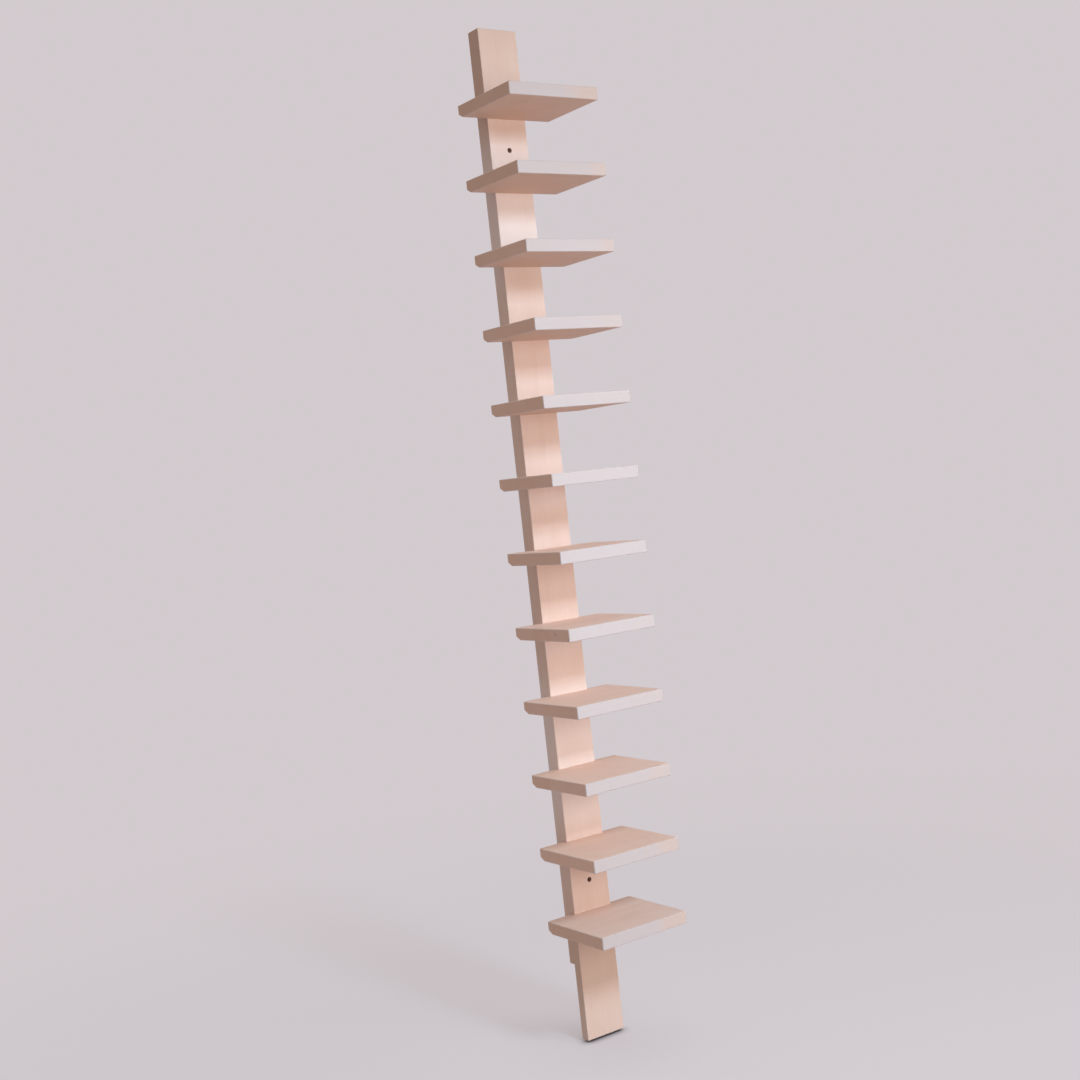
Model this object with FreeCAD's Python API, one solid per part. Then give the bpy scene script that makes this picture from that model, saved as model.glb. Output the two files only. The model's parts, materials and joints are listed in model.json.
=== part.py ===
import FreeCAD, Part

import math
import os

from FreeCAD import Vector

# Spine bookshelf: short shelves let into the front of one upright plank, the spine,
# which is screwed flat to a wall. Millimetres, +Z up, front towards -Y, wall at y = 0.
# Heights are counted from the foot. The finished pieces are then lowered so that the
# origin is on the wall plane, on the centre line, midway between the two wall fixings.

# Spine
spine_width = 90.0
spine_thickness = 35.0
foot_to_lowest_shelf = 229.0
top_shelf_to_spine_end = 152.0

# Shelves, all alike, with an even clear height between them for lying books
shelf_count = 12
bay_height = 121.0
shelf_width = 205.0
shelf_reach = 165.0
shelf_thickness = 24.0

# Tapered housing: the shelf's rear end is bevelled from below and wedges into the spine
housing_depth = 12.0
bevel_angle = 30.0
housing_clearance = 0.1

# Rebate behind the foot, which clears a skirting board
rebate_height = 150.0
rebate_depth = 15.0

# Wall fixings: a through hole with a recess for the screw's head, in the end bays
fixing_hole_diameter = 5.5
fixing_recess_diameter = 10.0
fixing_recess_depth = 12.0

# Countersunk screws on the centre line, one to a shelf, driven from behind through the spine
screw_diameter = 6.0
screw_head_diameter = 12.0
screw_head_angle = 90.0
screw_length = 80.0
screw_set_in = 0.3
screw_clearance = 0.25

# Bevel that takes the sharpness off every edge that a hand can reach
edge_bevel = 1.0

# Sizes that follow from the ones above
shelf_pitch = bay_height + shelf_thickness
shelf_undersides = [foot_to_lowest_shelf + i * shelf_pitch for i in range(shelf_count)]
spine_height = shelf_undersides[-1] + shelf_thickness + top_shelf_to_spine_end
spine_front = -spine_thickness
shelf_front = spine_front - shelf_reach
shelf_rear = spine_front + housing_depth
bevel_rise = housing_depth * math.tan(math.radians(bevel_angle))
screw_height_in_shelf = (bevel_rise + shelf_thickness) / 2.0
screw_head_slope = math.tan(math.radians(screw_head_angle / 2.0))
bay_middle = shelf_thickness + bay_height / 2.0
fixing_heights = [shelf_undersides[0] + bay_middle, shelf_undersides[-2] + bay_middle]
origin_height = sum(fixing_heights) / len(fixing_heights)


def bar_along_x(profile, length):
    """A bar centred on x = 0 whose section is a polygon of (y, z) corners."""
    corners = [Vector(-length / 2.0, y, z) for y, z in profile + profile[:1]]
    return Part.Face(Part.makePolygon(corners)).extrude(Vector(length, 0, 0))


def turned_along_y(profile, height):
    """A solid turned about the line along Y at x = 0 and a height, from (radius, y) corners."""
    corners = [Vector(radius, y, 0) for radius, y in profile + profile[:1]]
    turned = Part.Face(Part.makePolygon(corners)).revolve(Vector(0, 0, 0), Vector(0, 1, 0), 360)
    turned.translate(Vector(0, 0, height))
    return turned


def eased(solid, sharp_y, sharp_z):
    """The solid with its edges bevelled, apart from the one along X at (sharp_y, sharp_z)."""
    edges = []
    for edge in solid.Edges:
        middle = edge.CenterOfMass
        if math.hypot(middle.y - sharp_y, middle.z - sharp_z) > edge_bevel:
            edges.append(edge)
    return solid.makeChamfer(edge_bevel, edges)


def shelf_blank(underside):
    """One shelf before drilling: a board whose rear lower edge is bevelled."""
    top = underside + shelf_thickness
    profile = [
        (shelf_front, underside),
        (spine_front, underside),
        (shelf_rear, underside + bevel_rise),
        (shelf_rear, top),
        (shelf_front, top),
    ]
    return eased(bar_along_x(profile, shelf_width), spine_front, underside)


def housing(underside):
    """The wood taken out of the spine for one shelf, open at the front and at both sides."""
    top = underside + shelf_thickness + housing_clearance
    mouth = underside - housing_clearance
    overrun = edge_bevel
    profile = [
        (spine_front - overrun, mouth),
        (spine_front, mouth),
        (shelf_rear, mouth + bevel_rise),
        (shelf_rear, top),
        (spine_front - overrun, top),
    ]
    return bar_along_x(profile, spine_width + 2.0 * overrun)


def shelf_screw(underside):
    """The screw of one shelf, with its head just below the spine's back."""
    shank = screw_diameter / 2.0
    head = screw_head_diameter / 2.0
    top = -screw_set_in
    neck = top - (head - shank) / screw_head_slope
    end = top - screw_length
    profile = [(0.0, top), (head, top), (shank, neck), (shank, end), (0.0, end)]
    return turned_along_y(profile, underside + screw_height_in_shelf)


def shelf_screw_hole(underside):
    """The spine's hole for one shelf screw: a countersink that seats the head, then clearance."""
    mouth = screw_head_diameter / 2.0 + screw_set_in * screw_head_slope
    hole = screw_diameter / 2.0 + screw_clearance
    neck = (hole - mouth) / screw_head_slope
    profile = [(0.0, 0.0), (mouth, 0.0), (hole, neck), (hole, shelf_rear), (0.0, shelf_rear)]
    return turned_along_y(profile, underside + screw_height_in_shelf)


def fixing_hole(height):
    """One wall fixing: a through hole, recessed from the front for the screw's head."""
    hole = fixing_hole_diameter / 2.0
    recess = fixing_recess_diameter / 2.0
    recess_floor = spine_front + fixing_recess_depth
    profile = [
        (0.0, spine_front),
        (recess, spine_front),
        (recess, recess_floor),
        (hole, recess_floor),
        (hole, 0.0),
        (0.0, 0.0),
    ]
    return turned_along_y(profile, height)


def spine_blank():
    """The plank before its joints are cut, stepped forward at the foot by the rebate."""
    profile = [
        (spine_front, 0.0),
        (-rebate_depth, 0.0),
        (-rebate_depth, rebate_height),
        (0.0, rebate_height),
        (0.0, spine_height),
        (spine_front, spine_height),
    ]
    return eased(bar_along_x(profile, spine_width), -rebate_depth, rebate_height)


def make_spine():
    """The upright plank with its housings, screw holes and wall fixings."""
    cuts = [fixing_hole(height) for height in fixing_heights]
    cuts += [housing(underside) for underside in shelf_undersides]
    cuts += [shelf_screw_hole(underside) for underside in shelf_undersides]
    return spine_blank().cut(cuts)


def make_shelf(underside):
    """One shelf, with the hole that its screw has made."""
    return shelf_blank(underside).cut(shelf_screw(underside))


def make_screws():
    """Every shelf screw, as one set of separate solids."""
    return Part.makeCompound([shelf_screw(underside) for underside in shelf_undersides])


def write_node(name, shape):
    """Lower one finished node to the shared origin and write its STEP file."""
    shape.translate(Vector(0, 0, -origin_height))
    shape.exportStep(os.path.join("parts", name + ".step"))


os.makedirs("parts", exist_ok=True)
write_node("spine", make_spine())
for number, underside in enumerate(shelf_undersides, start=1):
    write_node("shelf_%02d" % number, make_shelf(underside))
write_node("shelf_screws", make_screws())
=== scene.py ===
import json
import math

import bmesh
import bpy
from mathutils import Matrix, Vector


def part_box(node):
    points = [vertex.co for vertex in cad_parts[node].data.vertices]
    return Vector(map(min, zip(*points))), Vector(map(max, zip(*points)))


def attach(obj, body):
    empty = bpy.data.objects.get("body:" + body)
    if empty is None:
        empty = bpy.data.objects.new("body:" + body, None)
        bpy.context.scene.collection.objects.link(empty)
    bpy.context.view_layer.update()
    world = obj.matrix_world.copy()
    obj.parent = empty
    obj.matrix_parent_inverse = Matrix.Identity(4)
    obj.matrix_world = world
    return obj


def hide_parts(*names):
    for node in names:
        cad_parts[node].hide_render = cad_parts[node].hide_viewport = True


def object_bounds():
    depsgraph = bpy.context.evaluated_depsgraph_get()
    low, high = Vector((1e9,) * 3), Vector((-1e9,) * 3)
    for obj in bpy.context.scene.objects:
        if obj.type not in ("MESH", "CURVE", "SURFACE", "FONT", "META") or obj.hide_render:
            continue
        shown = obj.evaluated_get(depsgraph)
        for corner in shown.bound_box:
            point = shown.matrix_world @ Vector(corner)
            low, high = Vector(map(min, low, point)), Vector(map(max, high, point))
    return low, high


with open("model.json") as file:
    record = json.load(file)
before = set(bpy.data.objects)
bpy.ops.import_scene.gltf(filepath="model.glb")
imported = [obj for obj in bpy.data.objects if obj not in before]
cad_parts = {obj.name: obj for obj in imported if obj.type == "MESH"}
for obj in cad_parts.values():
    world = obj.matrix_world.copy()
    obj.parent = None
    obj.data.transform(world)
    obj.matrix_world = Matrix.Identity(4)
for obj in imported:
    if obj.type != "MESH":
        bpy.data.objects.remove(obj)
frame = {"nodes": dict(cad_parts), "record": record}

# Places are in metres in the part's own frame, and angles in degrees.
# Inside the wood and the screws every length is in millimetres, which suits the size of their detail.
MM = 0.001
FRAME_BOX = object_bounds()
LOW = Vector(FRAME_BOX[0])
HIGH = Vector(FRAME_BOX[1])
MIDDLE = (LOW + HIGH) / 2.0

# Camera
CAMERA_PLACE = (-1.713, -2.457, 0.073)
CAMERA_AZIMUTH = -34.87
CAMERA_ELEVATION = 1.61
CAMERA_ROLL = 6.26
CAMERA_LENS = 50.04
CAMERA_SENSOR = 36.0
CAMERA_SHIFT_UP = -0.015
CAMERA_SEES_TO = 100.0

# Lamps: a high, narrow key in front of the spine, and a wide fill beside it
KEY_PLACE = (0.0, -2.63, 1.31)
KEY_AIM = (0.0, -0.1, -0.30)
KEY_SIZE = 0.5
KEY_SPREAD = 65.0
KEY_POWER = 5.7
KEY_COLOUR = (0.79, 1.07, 1.31)
FILL_PLACE = (1.2, -3.0, 0.0)
FILL_AIM = (0.0, 0.0, 0.0)
FILL_SIZE = 1.6
FILL_SPREAD = 180.0
FILL_POWER = 45.4
FILL_COLOUR = (1.0, 1.0, 1.0)
SKY_LIGHT = 0.425
SKY_COLOUR = (1.0, 0.970, 0.945)

# Floor: a few millimetres below the foot, as under a plank that leans on a wall, with painted shade in
# that gap.
# A share of its colour, the glow, takes no shadow but painted contact shade; near the object the glow is
# paler than the backdrop, a painted pool of light. Far away all of its colour is glow.
FLOOR_RADIUS = 30.0
FLOOR_SIDES = 96
FLOOR_GAP = 4.5 * MM
FLOOR_ROUGHNESS = 0.9
FLOOR_SHEEN = 0.1
CONTACT_REACH = 0.25
GAP_REACH = 0.02
FLOOR_GLOW = 0.60
FLOOR_FADE = (0.5, 2.6)

# Colours, as linear red, green and blue
BACKDROP = (0.650, 0.598, 0.622)
FLOOR_PAPER = (0.680, 0.626, 0.650)
# Painted light: the floor's glow near the object
FLOOR_NEAR_GLOW = (0.748, 0.688, 0.715)
# Painted shade in the gap under the foot
FLOOR_GAP_SHADE = (0.080, 0.070, 0.070)
MAPLE_PALE = (0.875, 0.660, 0.570)
MAPLE_MID = (0.790, 0.568, 0.462)
# Latewood, and painted shade on the spine's sides
MAPLE_LATEWOOD_AND_SHADE = (0.640, 0.410, 0.315)
MAPLE_END = (0.860, 0.490, 0.340)
MAPLE_WARM = (0.790, 0.560, 0.440)
# Painted grey sheen of the shelves' fronts
MAPLE_FRONT_SHEEN = (0.535, 0.464, 0.456)
MAPLE_TAN = (0.600, 0.450, 0.385)
# A darker tone, for darker wood and for painted shade
MAPLE_HEART_AND_SHADE = (0.600, 0.380, 0.260)
# A paler tone, for paler wood and for painted light
MAPLE_PALER_AND_LIT = (0.975, 0.880, 0.835)
# Painted highlight of the arrises
MAPLE_ARRIS_HIGHLIGHT = (0.820, 0.700, 0.650)
# Painted warm light on the shelves' tops
MAPLE_TOP_LIGHT = (0.980, 0.615, 0.450)
# Brown of small marks, and painted shade inside bores
MARK_AND_SHADE_BROWN = (0.160, 0.095, 0.065)
MARK_PALE = (0.960, 0.860, 0.800)
ZINC = (0.620, 0.610, 0.580)
ZINC_DULL = (0.480, 0.480, 0.480)

# Boards: the spine is one plank, and each shelf is glued up from staves that run across it
SPINE_SEED = 11.0
FIRST_SHELF_SEED = 40.0
SHELF_SEED_STEP = 13.0
STAVE_SEED_STEP = 7.31
TINT_SEED_STEP = 3.7
SPINE_STAVE = 200.0
SHELF_STAVE = 59.0
ARRIS_ROUNDING = 0.45
ROUNDING_STEPS = 3
ROUNDED_ANGLE = 30.0
WELD_REACH = 0.01
WALL_BORE_RADIUS = 5.0

# Growth rings. A stave's pith lies within half a spread of the board's edge to either side, and below
# it by a least depth and up to a spread more. Its line leans, sways sideways and bows up and down.
SEED_SPREAD = 900.0
PITH_SPREAD = 70.0
PITH_DEPTH = 30.0
PITH_LEAN = 0.05
SWAY = 26.0
SWAY_SIZE = (260.0, 60.0)
BOW = 16.0
BOW_SIZE = (190.0, 50.0)
RING_SPACING = 2.6
RING_DRIFT = 6.0
RING_DRIFT_SIZE = (900.0, 14.0)
RING_DARKENS = (0.45, 0.93)
RING_ENDS = (1.0, 0.94)
RING_FAINTEST = 0.15

# Other figure: how long each feature is along the grain and how wide across it, and a ray's height too
STREAK_SIZE = (190.0, 9.0)
BAND_SIZE = (120.0, 30.0)
BAND_SHARE = 0.65
FIBRE_SIZE = (14.0, 0.32)
PORE_SIZE = (2.4, 0.22)
PORE_START = (0.66, 0.74)
RAY_SIZE = (1.3, 0.5, 1.6)
RAY_START = (0.68, 0.76)
WARM_PATCH_SIZE = 60.0

# How the figure darkens the wood. Here and below, a rise says where a tone starts and where it is full,
# a growth adds how strong it is there, and a share is how far the colour goes to the tone's own.
STREAK_TONE = 0.9
TINT_TONE = 0.35
LATEWOOD_TONE = 0.15
BODY_RISE = (0.15, 0.95)
WARM_GROWTH = (0.45, 0.75, 0.5)
LATEWOOD_SHARE = 0.22
FIBRE_GROWTH = (0.35, 0.75, 0.10)
PORE_SHARE = 0.22
RAY_SHARE = 0.16
END_GRAIN_SHARE = 0.30
END_FIBRE_SHARE = 0.35
# A painted highlight along the arrises
ARRIS_HIGHLIGHT_GROWTH = (2.2, 1.0, 0.35)

# From where to where a surface comes to face an axis, and how far behind a board's front plane its
# front ends
FACING = (0.55, 0.95)
FRONT_SKIN = 0.4
FRONT_EDGE = 1.6

# Spine tones, by height: painted shade on the sides, most high up, a slow swell between pale and tan that
# is partly wood tone and partly painted light and shade of single bays, and painted shade on the crown
# and on the foot below the lowest shelf
SIDE_SHADE_SHARE = 0.1
UPPER_SIDE_SHADE_GROWTH = (300.0, 800.0, 0.75)
LOWER_SIDE_SHADE_GROWTH = (60.0, -60.0, 0.2)
SWELL_HEIGHT = -470.0
SWELL_PERIOD = 1070.0
PALE_SWELL_GROWTH = (0.3, 1.0, 0.43)
TAN_SWELL_GROWTH = (0.1, -1.0, 0.15)
# Painted shade on the crown and on the foot
CROWN_SHADE_GROWTH = (800.0, 960.0, 0.25)
FOOT_SHADE_RISE = (-790.0, -830.0)
FOOT_SHADE_SHARE = 0.25
FOOT_SHADE_GROWTH = (-1010.0, -900.0, 0.35)

# Shelf tones: painted shade on the undersides, painted warm light on the tops but for the lowest shelf's,
# darker ends on the highest and lowest shelves, and on the front a painted grey sheen that gives way to
# tan in places away from the middle shelves
UNDERSIDE_SHADE_GROWTH = (-0.55, -0.95, 0.4)
TOP_LIGHT_GROWTH = (-850.0, -600.0, 0.4)
HIGH_END_GROWTH = (450.0, 750.0, 0.35)
LOW_END_GROWTH = (-700.0, -790.0, 0.35)
FRONT_SHEEN_SHARE = 0.85
FRONT_LATEWOOD = 0.3
FRONT_TAN_SLOPE = 0.5
FRONT_TAN_RISE = (0.55, 1.0)
FRONT_TAN_HEIGHTS = (100.0, 900.0)

# Glue lines, which keep off a board's first edge by a share of a stave, and the shade inside a bore
GLUE_LINE_GROWTH = (0.22, 0.05, 0.25)
GLUE_LINE_RISE = (0.01, 0.03)
BORE_SHARE = 0.85
BORE_EDGE = 0.1

# Finish of the wood
GLOSS_LEVEL = 0.2
ROUGHNESS = 0.46
STREAK_ROUGHNESS = 0.10
FIBRE_ROUGHNESS = 0.10
END_ROUGHNESS = 0.16
RELIEF_STRENGTH = 0.35
RELIEF_HEIGHT = 0.03
FIBRE_RELIEF = 0.7
LATEWOOD_RELIEF = 0.5
PORE_RELIEF = 0.8

# Small marks in the wood: the board, the mark's middle and half size, its colour and its strength
MARKS = (
    ("spine", (-4.3, -35.0, -1030.4), (1.0, 1.0, 2.2), MARK_AND_SHADE_BROWN, 0.7),
    ("shelf_05", (-102.5, -155.7, -216.0), (1.5, 1.5, 5.0), MARK_AND_SHADE_BROWN, 0.9),
    ("shelf_02", (34.7, -120.9, -640.5), (6.0, 3.0, 1.5), MARK_PALE, 0.9),
)

# Soft patches across the spine's front, partly wood tone and partly painted light and shade of single
# bays: the middle's height, the half height, the colour, the strength
SPINE_FRONT = -35.0
PATCH_HALF_WIDTH = 120.0
PATCH_HALF_DEPTH = 6.0
SPINE_PATCHES = (
    (-690.0, 40.0, MAPLE_HEART_AND_SHADE, 0.45),
    (-590.0, 60.0, MAPLE_PALER_AND_LIT, 0.25),
    (-250.0, 40.0, MAPLE_PALER_AND_LIT, 0.35),
    (40.0, 40.0, MAPLE_PALER_AND_LIT, 0.35),
    (475.0, 40.0, MAPLE_HEART_AND_SHADE, 0.45),
    (560.0, 45.0, MAPLE_PALER_AND_LIT, 0.25),
    (765.0, 35.0, MAPLE_HEART_AND_SHADE, 0.25),
)

# Zinc plating, slightly clouded
ZINC_CLOUD_SIZE = 3.0
ZINC_ROUGHNESS = 0.25
ZINC_CLOUD_ROUGHNESS = 0.2

# Shelf screws: six-lobed drive recess, smooth shank, and a thread that runs to the tip
SCREW_SIDES = 36
SCREW_CORE = 2.05
SCREW_SHANK = 2.35
SHANK_STEP_LENGTH = 1.0
SCREW_CREST = 2.95
SCREW_TIP = 0.15
SCREW_TIP_LENGTH = 9.0
HEAD_RIM_WIDTH = 0.3
HEAD_RIM_DROP = 0.1
THREAD_START = 27.0
THREAD_PITCH = 3.6
THREAD_HALF_WIDTH = 0.7
THREAD_ROOT = 0.2
THREAD_ROOT_LEAST = 0.05
THREAD_RUN_OUT = 2.0
RECESS_RADIUS = 2.25
RECESS_LOBES = 6.0
RECESS_LOBE = 0.42
RECESS_DEPTH = 2.4
RECESS_DRAFT = 0.5
RECESS_RIM = 0.15


class Field:
    """A number that varies over a surface: one output of a node tree, with arithmetic."""

    def __init__(self, tree, socket):
        self.tree = tree
        self.socket = socket

    def maths(self, operation, *others, swap=False):
        values = (self,) + others
        if swap:
            values = values[::-1]
        node = self.tree.nodes.new("ShaderNodeMath")
        node.operation = operation
        for slot, value in zip(node.inputs, values):
            feed(self.tree, slot, value)
        return Field(self.tree, node.outputs[0])

    def __add__(self, other):
        return self.maths("ADD", other)

    def __sub__(self, other):
        return self.maths("SUBTRACT", other)

    def __rsub__(self, other):
        return self.maths("SUBTRACT", other, swap=True)

    def __mul__(self, other):
        return self.maths("MULTIPLY", other)

    def __truediv__(self, other):
        return self.maths("DIVIDE", other)

    __radd__ = __add__
    __rmul__ = __mul__

    def __abs__(self):
        return self.maths("ABSOLUTE")

    def floor(self):
        return self.maths("FLOOR")

    def fraction(self):
        return self.maths("FRACT")

    def least(self, other):
        return self.maths("MINIMUM", other)

    def most(self, other):
        return self.maths("MAXIMUM", other)

    def rise(self, start, end):
        """0 up to start, then smoothly to 1 at end. With end below start it falls instead."""
        node = self.tree.nodes.new("ShaderNodeMapRange")
        node.interpolation_type = "SMOOTHSTEP"
        feed(self.tree, node.inputs["Value"], self)
        feed(self.tree, node.inputs["From Min"], min(start, end))
        feed(self.tree, node.inputs["From Max"], max(start, end))
        feed(self.tree, node.inputs["To Min"], 0.0 if start < end else 1.0)
        feed(self.tree, node.inputs["To Max"], 1.0 if start < end else 0.0)
        return Field(self.tree, node.outputs["Result"])

    def grow(self, start, end, strength):
        """0 up to start, then smoothly to a strength at end."""
        return self.rise(start, end) * strength


def feed(tree, slot, value):
    """Links a field or a socket to a slot, or writes a plain value on it."""
    if isinstance(value, Field):
        value = value.socket
    if isinstance(value, bpy.types.NodeSocket):
        tree.links.new(value, slot)
    elif slot.type == "RGBA":
        slot.default_value = value + (1.0,)
    else:
        slot.default_value = value


def vector(tree, x, y, z):
    """A vector of three numbers."""
    node = tree.nodes.new("ShaderNodeCombineXYZ")
    for slot, value in zip(node.inputs, (x, y, z)):
        feed(tree, slot, value)
    return node.outputs[0]


def parts_of(tree, socket):
    """The three numbers of a vector."""
    node = tree.nodes.new("ShaderNodeSeparateXYZ")
    tree.links.new(socket, node.inputs[0])
    return [Field(tree, out) for out in node.outputs]


def length_of(*sides):
    """The length of a line that reaches this far along each axis."""
    return sum(side * side for side in sides).maths("SQRT")


def noise(tree, x, y, z, detail=2.0, roughness=0.5):
    """Smooth noise about 0.5, one feature per unit of x, y and z."""
    node = tree.nodes.new("ShaderNodeTexNoise")
    feed(tree, node.inputs["Vector"], vector(tree, x, y, z))
    feed(tree, node.inputs["Scale"], 1.0)
    feed(tree, node.inputs["Detail"], detail)
    feed(tree, node.inputs["Roughness"], roughness)
    return Field(tree, node.outputs["Fac"])


def chance(tree, value):
    """Three even random numbers from 0 to 1 that belong to one number."""
    node = tree.nodes.new("ShaderNodeTexWhiteNoise")
    node.noise_dimensions = "1D"
    feed(tree, node.inputs["W"], value)
    split = tree.nodes.new("ShaderNodeSeparateColor")
    tree.links.new(node.outputs["Color"], split.inputs[0])
    return [Field(tree, out) for out in split.outputs]


def colour_slot(slots, name):
    """A mix node has a slot of each name for every kind of value: this is the one for colours."""
    return next(slot for slot in slots if slot.name == name and slot.type == "RGBA")


def blend(tree, share, first, second):
    """The colour that is a share of the way from the first to the second."""
    node = tree.nodes.new("ShaderNodeMix")
    node.data_type = "RGBA"
    feed(tree, node.inputs["Factor"], share)
    feed(tree, colour_slot(node.inputs, "A"), first)
    feed(tree, colour_slot(node.inputs, "B"), second)
    return colour_slot(node.outputs, "Result")


def new_material(name):
    """An empty node material with its shader."""
    material = bpy.data.materials.new(name)
    material.use_nodes = True
    tree = material.node_tree
    return material, tree, tree.nodes["Principled BSDF"]


def surface_in_mm(tree):
    """Where a point of the piece is, and which way its surface faces."""
    node = tree.nodes.new("ShaderNodeTexCoord")
    place = [field / MM for field in parts_of(tree, node.outputs["Object"])]
    return place, parts_of(tree, node.outputs["Normal"])


def arris_distance(place, low, high):
    """How far a point on a box's skin is from the nearest arris."""
    gaps = []
    for value, lowest, highest in zip(place, low, high):
        gaps.append((value - lowest).least(highest - value))
    a, b, c = gaps
    return a.least(b).most(a.most(b).least(c))


class Board:
    """One board's surface: where a point is, which way it faces, and the figure of the wood there."""

    def __init__(self, tree, box, seed, stave, upright):
        self.tree = tree
        self.place, self.facing = surface_in_mm(tree)
        self.low, self.high = [[value / MM for value in corner] for corner in box]
        x, y, z = self.place
        if upright:
            along, across, depth, end = z, x - self.low[0], y, self.facing[2]
        else:
            middle = (self.low[2] + self.high[2]) / 2.0
            along, across, depth, end = x, y - self.low[1], z - middle, self.facing[0]
        grain = (along, across, depth)
        self.end_grain = abs(end).rise(*FACING)
        self.stave = stave
        self.position = across / stave
        stave_seed = self.position.floor() * STAVE_SEED_STEP + seed
        self.tint = chance(tree, stave_seed + TINT_SEED_STEP)[0]
        self.late = latewood_lines(tree, grain, stave_seed)
        self.streak, self.fibre, self.pore, self.ray = wood_figure(tree, grain, stave_seed)
        self.patch = noise(tree, x / WARM_PATCH_SIZE + seed, y / WARM_PATCH_SIZE, z / WARM_PATCH_SIZE)


def grain_noise(tree, grain, size, shift, **more):
    """Noise whose features have a length along the grain and one width across it."""
    along, across, depth = grain
    length, width = size
    return noise(tree, along / length + shift, across / width, depth / width, **more)


def latewood_lines(tree, grain, seed):
    """Dark lines of the growth rings, about a pith that lies outside the stave and wanders."""
    along, across, depth = grain
    first, second, third = chance(tree, seed)
    shift = first * SEED_SPREAD
    sway = grain_noise(tree, grain, SWAY_SIZE, shift) - 0.5
    length, width = BOW_SIZE
    bow = noise(tree, along / length, across / width + shift, depth / width) - 0.5
    side = across - (second - 0.5) * PITH_SPREAD + sway * SWAY + along * (first - 0.5) * PITH_LEAN
    down = depth + third * PITH_SPREAD + PITH_DEPTH + bow * BOW + along * (second - 0.5) * PITH_LEAN
    radius = length_of(side, down)
    length, width = RING_DRIFT_SIZE
    drift = noise(tree, radius / width, shift, along / length, detail=1.0)
    turn = radius / RING_SPACING + drift * RING_DRIFT
    strength = chance(tree, turn.floor() + seed)[0] * (1.0 - RING_FAINTEST) + RING_FAINTEST
    return turn.fraction().rise(*RING_DARKENS) * turn.fraction().rise(*RING_ENDS) * strength


def wood_figure(tree, grain, seed):
    """Slow streaks, fine fibres, short pores and ray flecks of one stave, each from 0 to 1."""
    along, across, depth = grain
    shift = chance(tree, seed)[0] * SEED_SPREAD
    streak = grain_noise(tree, grain, STREAK_SIZE, shift, detail=3.0, roughness=0.6)
    band = grain_noise(tree, grain, BAND_SIZE, shift)
    fibre = grain_noise(tree, grain, FIBRE_SIZE, shift, roughness=0.6)
    pore = grain_noise(tree, grain, PORE_SIZE, shift, detail=1.0)
    length, width, height = RAY_SIZE
    ray = noise(tree, along / length, across / width + shift, depth / height, detail=0.0)
    slow = streak * (1.0 - BAND_SHARE) + band * BAND_SHARE
    return slow, fibre, pore.rise(*PORE_START), ray.rise(*RAY_START)


def wood_layers(board):
    """The figure on the pale ground of the wood, and a painted highlight along the arrises, as shares and
    the colours that they lead to.
    """
    body = board.streak * STREAK_TONE + (board.tint - 0.5) * TINT_TONE + board.late * LATEWOOD_TONE
    flecks = (board.pore * PORE_SHARE + board.ray * RAY_SHARE) * (1.0 - board.end_grain)
    return [
        (body.rise(*BODY_RISE), MAPLE_MID),
        (board.patch.grow(*WARM_GROWTH), MAPLE_WARM),
        (board.late * LATEWOOD_SHARE, MAPLE_LATEWOOD_AND_SHADE),
        (board.fibre.grow(*FIBRE_GROWTH), MAPLE_LATEWOOD_AND_SHADE),
        (flecks, MAPLE_LATEWOOD_AND_SHADE),
        (board.end_grain * (board.fibre * END_FIBRE_SHARE + END_GRAIN_SHARE), MAPLE_END),
        # Painted highlight along the arrises
        (arris_distance(board.place, board.low, board.high).grow(*ARRIS_HIGHLIGHT_GROWTH), MAPLE_ARRIS_HIGHLIGHT),
    ]


def spine_layers(board):
    """The tones that change slowly along the spine, with painted shade on its sides, crown and foot."""
    z = board.place[2]
    side = abs(board.facing[0]).rise(*FACING)
    side_shade = z.grow(*UPPER_SIDE_SHADE_GROWTH) + z.grow(*LOWER_SIDE_SHADE_GROWTH) + SIDE_SHADE_SHARE
    swell = ((z - SWELL_HEIGHT) * (2.0 * math.pi / SWELL_PERIOD)).maths("COSINE")
    # Painted shade on the foot, deepest just below the lowest shelf
    foot = z.rise(*FOOT_SHADE_RISE) * (z.grow(*FOOT_SHADE_GROWTH) + FOOT_SHADE_SHARE)
    return [
        # Painted shade on the spine's sides, most high up
        (side * side_shade, MAPLE_LATEWOOD_AND_SHADE),
        # A slow swell, partly wood tone and partly painted light and shade of single bays
        (swell.grow(*PALE_SWELL_GROWTH), MAPLE_PALER_AND_LIT),
        (swell.grow(*TAN_SWELL_GROWTH) * (1.0 - side), MAPLE_TAN),
        # Painted shade on the crown and on the foot
        (z.grow(*CROWN_SHADE_GROWTH) + foot, MAPLE_HEART_AND_SHADE),
    ]


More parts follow.
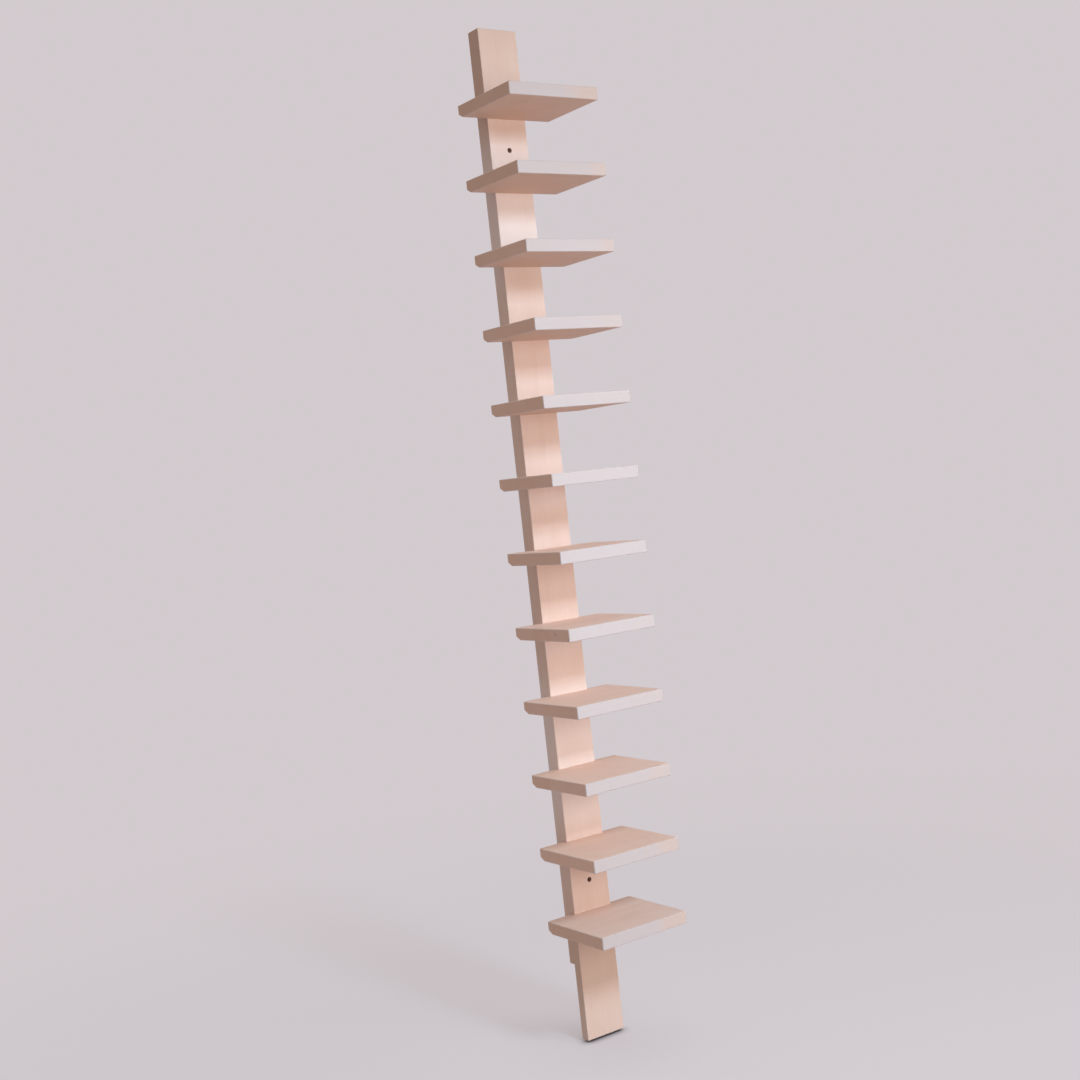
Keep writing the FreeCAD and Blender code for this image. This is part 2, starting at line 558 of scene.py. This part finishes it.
def shelf_layers(board):
    """The tones of a shelf's underside, top, ends and front: painted shade below, painted warm light on
    top and a painted grey sheen on the front.
    """
    x, y, z = board.place
    upward = board.facing[2]
    tan = board.patch + x / board.high[0] * FRONT_TAN_SLOPE
    tan_share = tan.rise(*FRONT_TAN_RISE) * abs(z).rise(*FRONT_TAN_HEIGHTS)
    # Painted grey sheen on the front, which gives way to the wood's tan away from the middle shelves
    front_sheen_paint = blend(board.tree, tan_share, MAPLE_FRONT_SHEEN, MAPLE_TAN)
    front = y.rise(board.low[1] + FRONT_EDGE, board.low[1] + FRONT_SKIN)
    return [
        # Painted shade on the undersides, which face down
        (upward.grow(*UNDERSIDE_SHADE_GROWTH), MAPLE_HEART_AND_SHADE),
        # Painted warm light on the tops, which face up, but for the lowest shelf's
        (upward.rise(*FACING) * z.grow(*TOP_LIGHT_GROWTH), MAPLE_TOP_LIGHT),
        (board.end_grain * (z.grow(*HIGH_END_GROWTH) + z.grow(*LOW_END_GROWTH)), MAPLE_HEART_AND_SHADE),
        (front * (FRONT_SHEEN_SHARE - board.late * FRONT_LATEWOOD), front_sheen_paint),
    ]


def glue_line_layers(board):
    """A thin dark line where one stave meets the next, but not along the board's first edge."""
    distance = abs(board.position - board.position.maths("ROUND")) * board.stave
    return [(distance.grow(*GLUE_LINE_GROWTH) * board.position.rise(*GLUE_LINE_RISE), MAPLE_LATEWOOD_AND_SHADE)]


def bore_layers(board, bores):
    """Shade on the walls of bores, each by its height and radius, just inside the board's front."""
    x, y, z = board.place
    layers = []
    for height, radius in bores:
        wall = length_of(x, z - height).rise(radius + BORE_EDGE, radius - BORE_EDGE)
        inside = wall * y.rise(board.low[1] + FRONT_SKIN, board.low[1] + FRONT_EDGE)
        # Painted shade on the bore's walls
        layers.append((inside * BORE_SHARE, MARK_AND_SHADE_BROWN))
    return layers


def mark_layers(board, marks):
    """Soft-edged marks, each by its middle, half size, colour and strength."""
    layers = []
    for middle, half_size, paint, strength in marks:
        gaps = [(value - centre) / half for value, centre, half in zip(board.place, middle, half_size)]
        layers.append((length_of(*gaps).grow(1.0, 0.0, strength), paint))
    return layers


def matt_finish(board, shader):
    """A matt clear finish, with the relief of the fibres, the rings and the pores."""
    tree = board.tree
    roughness = ROUGHNESS + board.streak * STREAK_ROUGHNESS + board.fibre * FIBRE_ROUGHNESS
    feed(tree, shader.inputs["Roughness"], roughness + board.end_grain * END_ROUGHNESS)
    feed(tree, shader.inputs["Specular IOR Level"], GLOSS_LEVEL)
    height = board.fibre * FIBRE_RELIEF + board.late * LATEWOOD_RELIEF - board.pore * PORE_RELIEF
    relief = tree.nodes.new("ShaderNodeBump")
    feed(tree, relief.inputs["Strength"], RELIEF_STRENGTH)
    feed(tree, relief.inputs["Distance"], RELIEF_HEIGHT * MM)
    feed(tree, relief.inputs["Height"], height)
    tree.links.new(relief.outputs["Normal"], shader.inputs["Normal"])


def maple(name, box, seed, stave, upright, bores, marks):
    """Clear-finished maple. Its grain runs up an upright board and sideways through a shelf."""
    material, tree, shader = new_material(name)
    board = Board(tree, box, seed, stave, upright)
    layers = wood_layers(board)
    layers += spine_layers(board) if upright else shelf_layers(board)
    layers += glue_line_layers(board) + bore_layers(board, bores) + mark_layers(board, marks)
    colour = MAPLE_PALE
    for share, paint in layers:
        colour = blend(tree, share, colour, paint)
    feed(tree, shader.inputs["Base Color"], colour)
    matt_finish(board, shader)
    return material


def zinc(name):
    """Bright zinc-plated steel, slightly clouded."""
    material, tree, shader = new_material(name)
    place, _ = surface_in_mm(tree)
    cloud = noise(tree, *[value / ZINC_CLOUD_SIZE for value in place], detail=3.0)
    feed(tree, shader.inputs["Base Color"], blend(tree, cloud, ZINC, ZINC_DULL))
    feed(tree, shader.inputs["Metallic"], 1.0)
    feed(tree, shader.inputs["Roughness"], cloud * ZINC_CLOUD_ROUGHNESS + ZINC_ROUGHNESS)
    return material


def round_arrises(node):
    """Rounds the bevelled arrises of a board, as sanding does."""
    weld = node.modifiers.new("weld", "WELD")
    weld.merge_threshold = WELD_REACH * MM
    bevel = node.modifiers.new("rounding", "BEVEL")
    bevel.width = ARRIS_ROUNDING * MM
    bevel.segments = ROUNDING_STEPS
    bevel.limit_method = "ANGLE"
    bevel.angle_limit = math.radians(ROUNDED_ANGLE)
    bevel.loop_slide = False
    bevel.harden_normals = True


def wall_screw_bores():
    """The height and radius of each recess for a wall screw in the spine's front."""
    mount = next(mount for mount in frame["record"]["mounts"] if mount["name"] == "wall_screws")
    half = mount["dims"]["spacing_y_mm"] / 2.0
    return [(-half, WALL_BORE_RADIUS), (half, WALL_BORE_RADIUS)]


def dress(name, material):
    """Gives a board its wood and its rounded arrises."""
    node = frame["nodes"][name]
    node.data.materials.clear()
    node.data.materials.append(material)
    round_arrises(node)


def marks_on(name):
    """The small marks of one board, without its name."""
    return [mark[1:] for mark in MARKS if mark[0] == name]


def spine_patches():
    """The soft patches of the spine's front, as marks."""
    patches = []
    for height, half_height, paint, strength in SPINE_PATCHES:
        half_size = (PATCH_HALF_WIDTH, PATCH_HALF_DEPTH, half_height)
        patches.append(((0.0, SPINE_FRONT, height), half_size, paint, strength))
    return patches


def shelf_names():
    """The shelves' nodes, from the lowest up."""
    return sorted(name for name in frame["nodes"] if name not in ("spine", "shelf_screws"))


def dress_boards():
    """The wood of the spine and of each shelf."""
    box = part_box("spine")
    marks = marks_on("spine") + spine_patches()
    dress("spine", maple("maple_spine", box, SPINE_SEED, SPINE_STAVE, True, wall_screw_bores(), marks))
    for index, name in enumerate(shelf_names()):
        seed = FIRST_SHELF_SEED + SHELF_SEED_STEP * index
        dress(name, maple("maple_" + name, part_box(name), seed, SHELF_STAVE, False, [], marks_on(name)))


def add_tube(shape, place, sections):
    """A closed skin at a place, through sections with the same number of points each, in millimetres."""
    rings = [[shape.verts.new(place + point * MM) for point in section] for section in sections]
    for first, second in zip(rings, rings[1:]):
        for side in range(len(first)):
            after = (side + 1) % len(first)
            shape.faces.new((first[side], first[after], second[after], second[side]))
    shape.faces.new(rings[0])
    shape.faces.new(rings[-1])


def screw_point(depth, radius, angle):
    """A point of a screw that points to the front, by its depth below the head's top."""
    return Vector((radius * math.cos(angle), -depth, radius * math.sin(angle)))


def screw_body(length, head):
    """Sections of the screw without its thread: from the recess's floor, over the head, to the tip."""
    profile = [
        (RECESS_DEPTH, RECESS_RADIUS - RECESS_DRAFT, RECESS_LOBE),
        (RECESS_RIM, RECESS_RADIUS, RECESS_LOBE),
        (0.0, RECESS_RADIUS + RECESS_RIM, RECESS_LOBE),
        (0.0, head - HEAD_RIM_WIDTH, 0.0),
        (HEAD_RIM_DROP, head - HEAD_RIM_DROP, 0.0),
        (head - SCREW_SHANK, SCREW_SHANK, 0.0),
        (THREAD_START, SCREW_SHANK, 0.0),
        (THREAD_START + SHANK_STEP_LENGTH, SCREW_CORE, 0.0),
        (length - SCREW_TIP_LENGTH, SCREW_CORE, 0.0),
        (length, SCREW_TIP, 0.0),
    ]
    sections = []
    for depth, radius, lobe in profile:
        section = []
        for side in range(SCREW_SIDES):
            angle = 2.0 * math.pi * side / SCREW_SIDES
            reach = radius + lobe * math.cos(RECESS_LOBES * angle)
            section.append(screw_point(depth, reach, angle))
        sections.append(section)
    return sections


def screw_thread(length):
    """Sections of the thread's ridge, which winds about the core and runs out at both ends."""
    end = length - THREAD_HALF_WIDTH
    sections = []
    for step in range(int((end - THREAD_START) / THREAD_PITCH * SCREW_SIDES)):
        turn = step / SCREW_SIDES
        angle = 2.0 * math.pi * turn
        depth = THREAD_START + THREAD_PITCH * turn
        core = max(SCREW_TIP, SCREW_CORE * min(1.0, (length - depth) / SCREW_TIP_LENGTH))
        grown = min(1.0, (depth - THREAD_START) / THREAD_RUN_OUT, (end - depth) / SCREW_TIP_LENGTH)
        crest = core + (SCREW_CREST - SCREW_CORE) * grown
        root = max(THREAD_ROOT_LEAST, core - THREAD_ROOT)
        sections.append([
            screw_point(depth - THREAD_HALF_WIDTH, root, angle),
            screw_point(depth, crest, angle),
            screw_point(depth + THREAD_HALF_WIDTH, root, angle),
        ])
    return sections


def make_screws():
    """Every shelf screw, evenly spaced up the spine, in place of the frame's plain rods."""
    low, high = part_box("shelf_screws")
    head = (high.x - low.x) / 2.0
    count = len(shelf_names())
    spacing = (high.z - low.z - 2.0 * head) / (count - 1)
    length = (high.y - low.y) / MM
    shape = bmesh.new()
    for number in range(count):
        place = Vector(((low.x + high.x) / 2.0, high.y, low.z + head + number * spacing))
        add_tube(shape, place, screw_body(length, head / MM))
        add_tube(shape, place, screw_thread(length))
    bmesh.ops.recalc_face_normals(shape, faces=shape.faces)
    mesh = bpy.data.meshes.new("wood_screws")
    shape.to_mesh(mesh)
    shape.free()
    mesh.materials.append(zinc("zinc_plate"))
    screws = bpy.data.objects.new("wood_screws", mesh)
    bpy.context.scene.collection.objects.link(screws)
    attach(screws, "root")
    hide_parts("shelf_screws")


def seen_rays(tree):
    """1 for a ray by which the camera sees a thing: straight, in a mirror or through glass."""
    node = tree.nodes.new("ShaderNodeLightPath")
    camera, glossy, through = [
        Field(tree, node.outputs["Is " + kind + " Ray"]) for kind in ("Camera", "Glossy", "Transmission")
    ]
    return camera.most(glossy).most(through)


def mix_shaders(tree, share, first, second, output):
    """Mixes two shaders, with this share of the second, and makes that the surface of a tree's output."""
    mixed = tree.nodes.new("ShaderNodeMixShader")
    for slot, value in zip(mixed.inputs, (share, first.outputs[0], second.outputs[0])):
        feed(tree, slot, value)
    tree.links.new(mixed.outputs[0], tree.nodes[output].inputs["Surface"])


def openness(tree, reach):
    """1 where nothing stands within reach of the surface, down to 0 in a narrow gap."""
    node = tree.nodes.new("ShaderNodeAmbientOcclusion")
    feed(tree, node.inputs["Distance"], reach)
    return Field(tree, node.outputs["AO"])


def floor_paper():
    """Pale matt paper, with painted shade in the gap under the foot and near the object. The camera sees
    a glow in it, the more the further it is: paler than the backdrop near the object, a painted pool of
    light, and the backdrop's colour far away.
    """
    material, tree, shader = new_material("floor_paper")
    # Painted shade: the paper turns dark in the narrow gap under the foot
    gap = openness(tree, GAP_REACH)
    feed(tree, shader.inputs["Base Color"], blend(tree, gap, FLOOR_GAP_SHADE, FLOOR_PAPER))
    feed(tree, shader.inputs["Roughness"], FLOOR_ROUGHNESS)
    feed(tree, shader.inputs["Specular IOR Level"], FLOOR_SHEEN)
    place = tree.nodes.new("ShaderNodeTexCoord")
    x, y, _ = parts_of(tree, place.outputs["Object"])
    away = length_of(x, y).rise(*FLOOR_FADE)
    # Painted contact shade: less glow shows near the object and in the gap
    share = (away * (1.0 - FLOOR_GLOW) + FLOOR_GLOW) * openness(tree, CONTACT_REACH) * gap
    glow = tree.nodes.new("ShaderNodeEmission")
    # Painted light: near the object the glow is paler than the backdrop
    feed(tree, glow.inputs["Color"], blend(tree, away, FLOOR_NEAR_GLOW, BACKDROP))
    mix_shaders(tree, share * seen_rays(tree), shader, glow, "Material Output")
    return material


def build_floor():
    """A round floor, centred below the object."""
    mesh = bpy.data.meshes.new("floor")
    shape = bmesh.new()
    bmesh.ops.create_circle(shape, cap_ends=True, segments=FLOOR_SIDES, radius=FLOOR_RADIUS)
    shape.to_mesh(mesh)
    shape.free()
    mesh.materials.append(floor_paper())
    floor = bpy.data.objects.new("floor", mesh)
    floor.location = (MIDDLE.x, MIDDLE.y, LOW.z - FLOOR_GAP)
    bpy.context.scene.collection.objects.link(floor)


def build_world():
    """Even studio light, in front of a backdrop of the floor's colour."""
    world = bpy.data.worlds.new("studio")
    bpy.context.scene.world = world
    world.use_nodes = True
    tree = world.node_tree
    light = tree.nodes["Background"]
    feed(tree, light.inputs["Color"], SKY_COLOUR)
    feed(tree, light.inputs["Strength"], SKY_LIGHT)
    backdrop = tree.nodes.new("ShaderNodeBackground")
    feed(tree, backdrop.inputs["Color"], BACKDROP)
    mix_shaders(tree, seen_rays(tree), light, backdrop, "World Output")


def add_lamp(name, place, aim, size, power, spread, colour):
    """A square soft lamp that faces a point and lights a cone of the given spread."""
    lamp = bpy.data.lights.new(name, "AREA")
    lamp.shape = "SQUARE"
    lamp.size = size
    lamp.energy = power
    lamp.spread = math.radians(spread)
    lamp.color = colour
    holder = bpy.data.objects.new(name, lamp)
    holder.location = place
    holder.rotation_euler = (Vector(aim) - Vector(place)).to_track_quat("-Z", "Y").to_euler()
    bpy.context.scene.collection.objects.link(holder)


def add_camera():
    """The camera, turned about its own axis by its roll."""
    azimuth = math.radians(CAMERA_AZIMUTH)
    elevation = math.radians(CAMERA_ELEVATION)
    level = math.cos(elevation)
    back = Vector((math.sin(azimuth) * level, -math.cos(azimuth) * level, math.sin(elevation)))
    right = Vector((0.0, 0.0, 1.0)).cross(back).normalized()
    up = back.cross(right)
    roll = Matrix.Rotation(math.radians(-CAMERA_ROLL), 3, "Z")
    turn = Matrix((right, up, back)).transposed() @ roll
    camera = bpy.data.cameras.new("camera")
    camera.lens = CAMERA_LENS
    camera.sensor_width = CAMERA_SENSOR
    camera.sensor_fit = "HORIZONTAL"
    camera.shift_y = CAMERA_SHIFT_UP
    camera.clip_end = CAMERA_SEES_TO
    holder = bpy.data.objects.new("camera", camera)
    holder.matrix_world = Matrix.Translation(CAMERA_PLACE) @ turn.to_4x4()
    bpy.context.scene.collection.objects.link(holder)
    bpy.context.scene.camera = holder


dress_boards()
make_screws()
build_floor()
build_world()
add_lamp("key", KEY_PLACE, KEY_AIM, KEY_SIZE, KEY_POWER, KEY_SPREAD, KEY_COLOUR)
add_lamp("fill", FILL_PLACE, FILL_AIM, FILL_SIZE, FILL_POWER, FILL_SPREAD, FILL_COLOUR)
add_camera()
bpy.context.scene.view_settings.view_transform = "Standard"
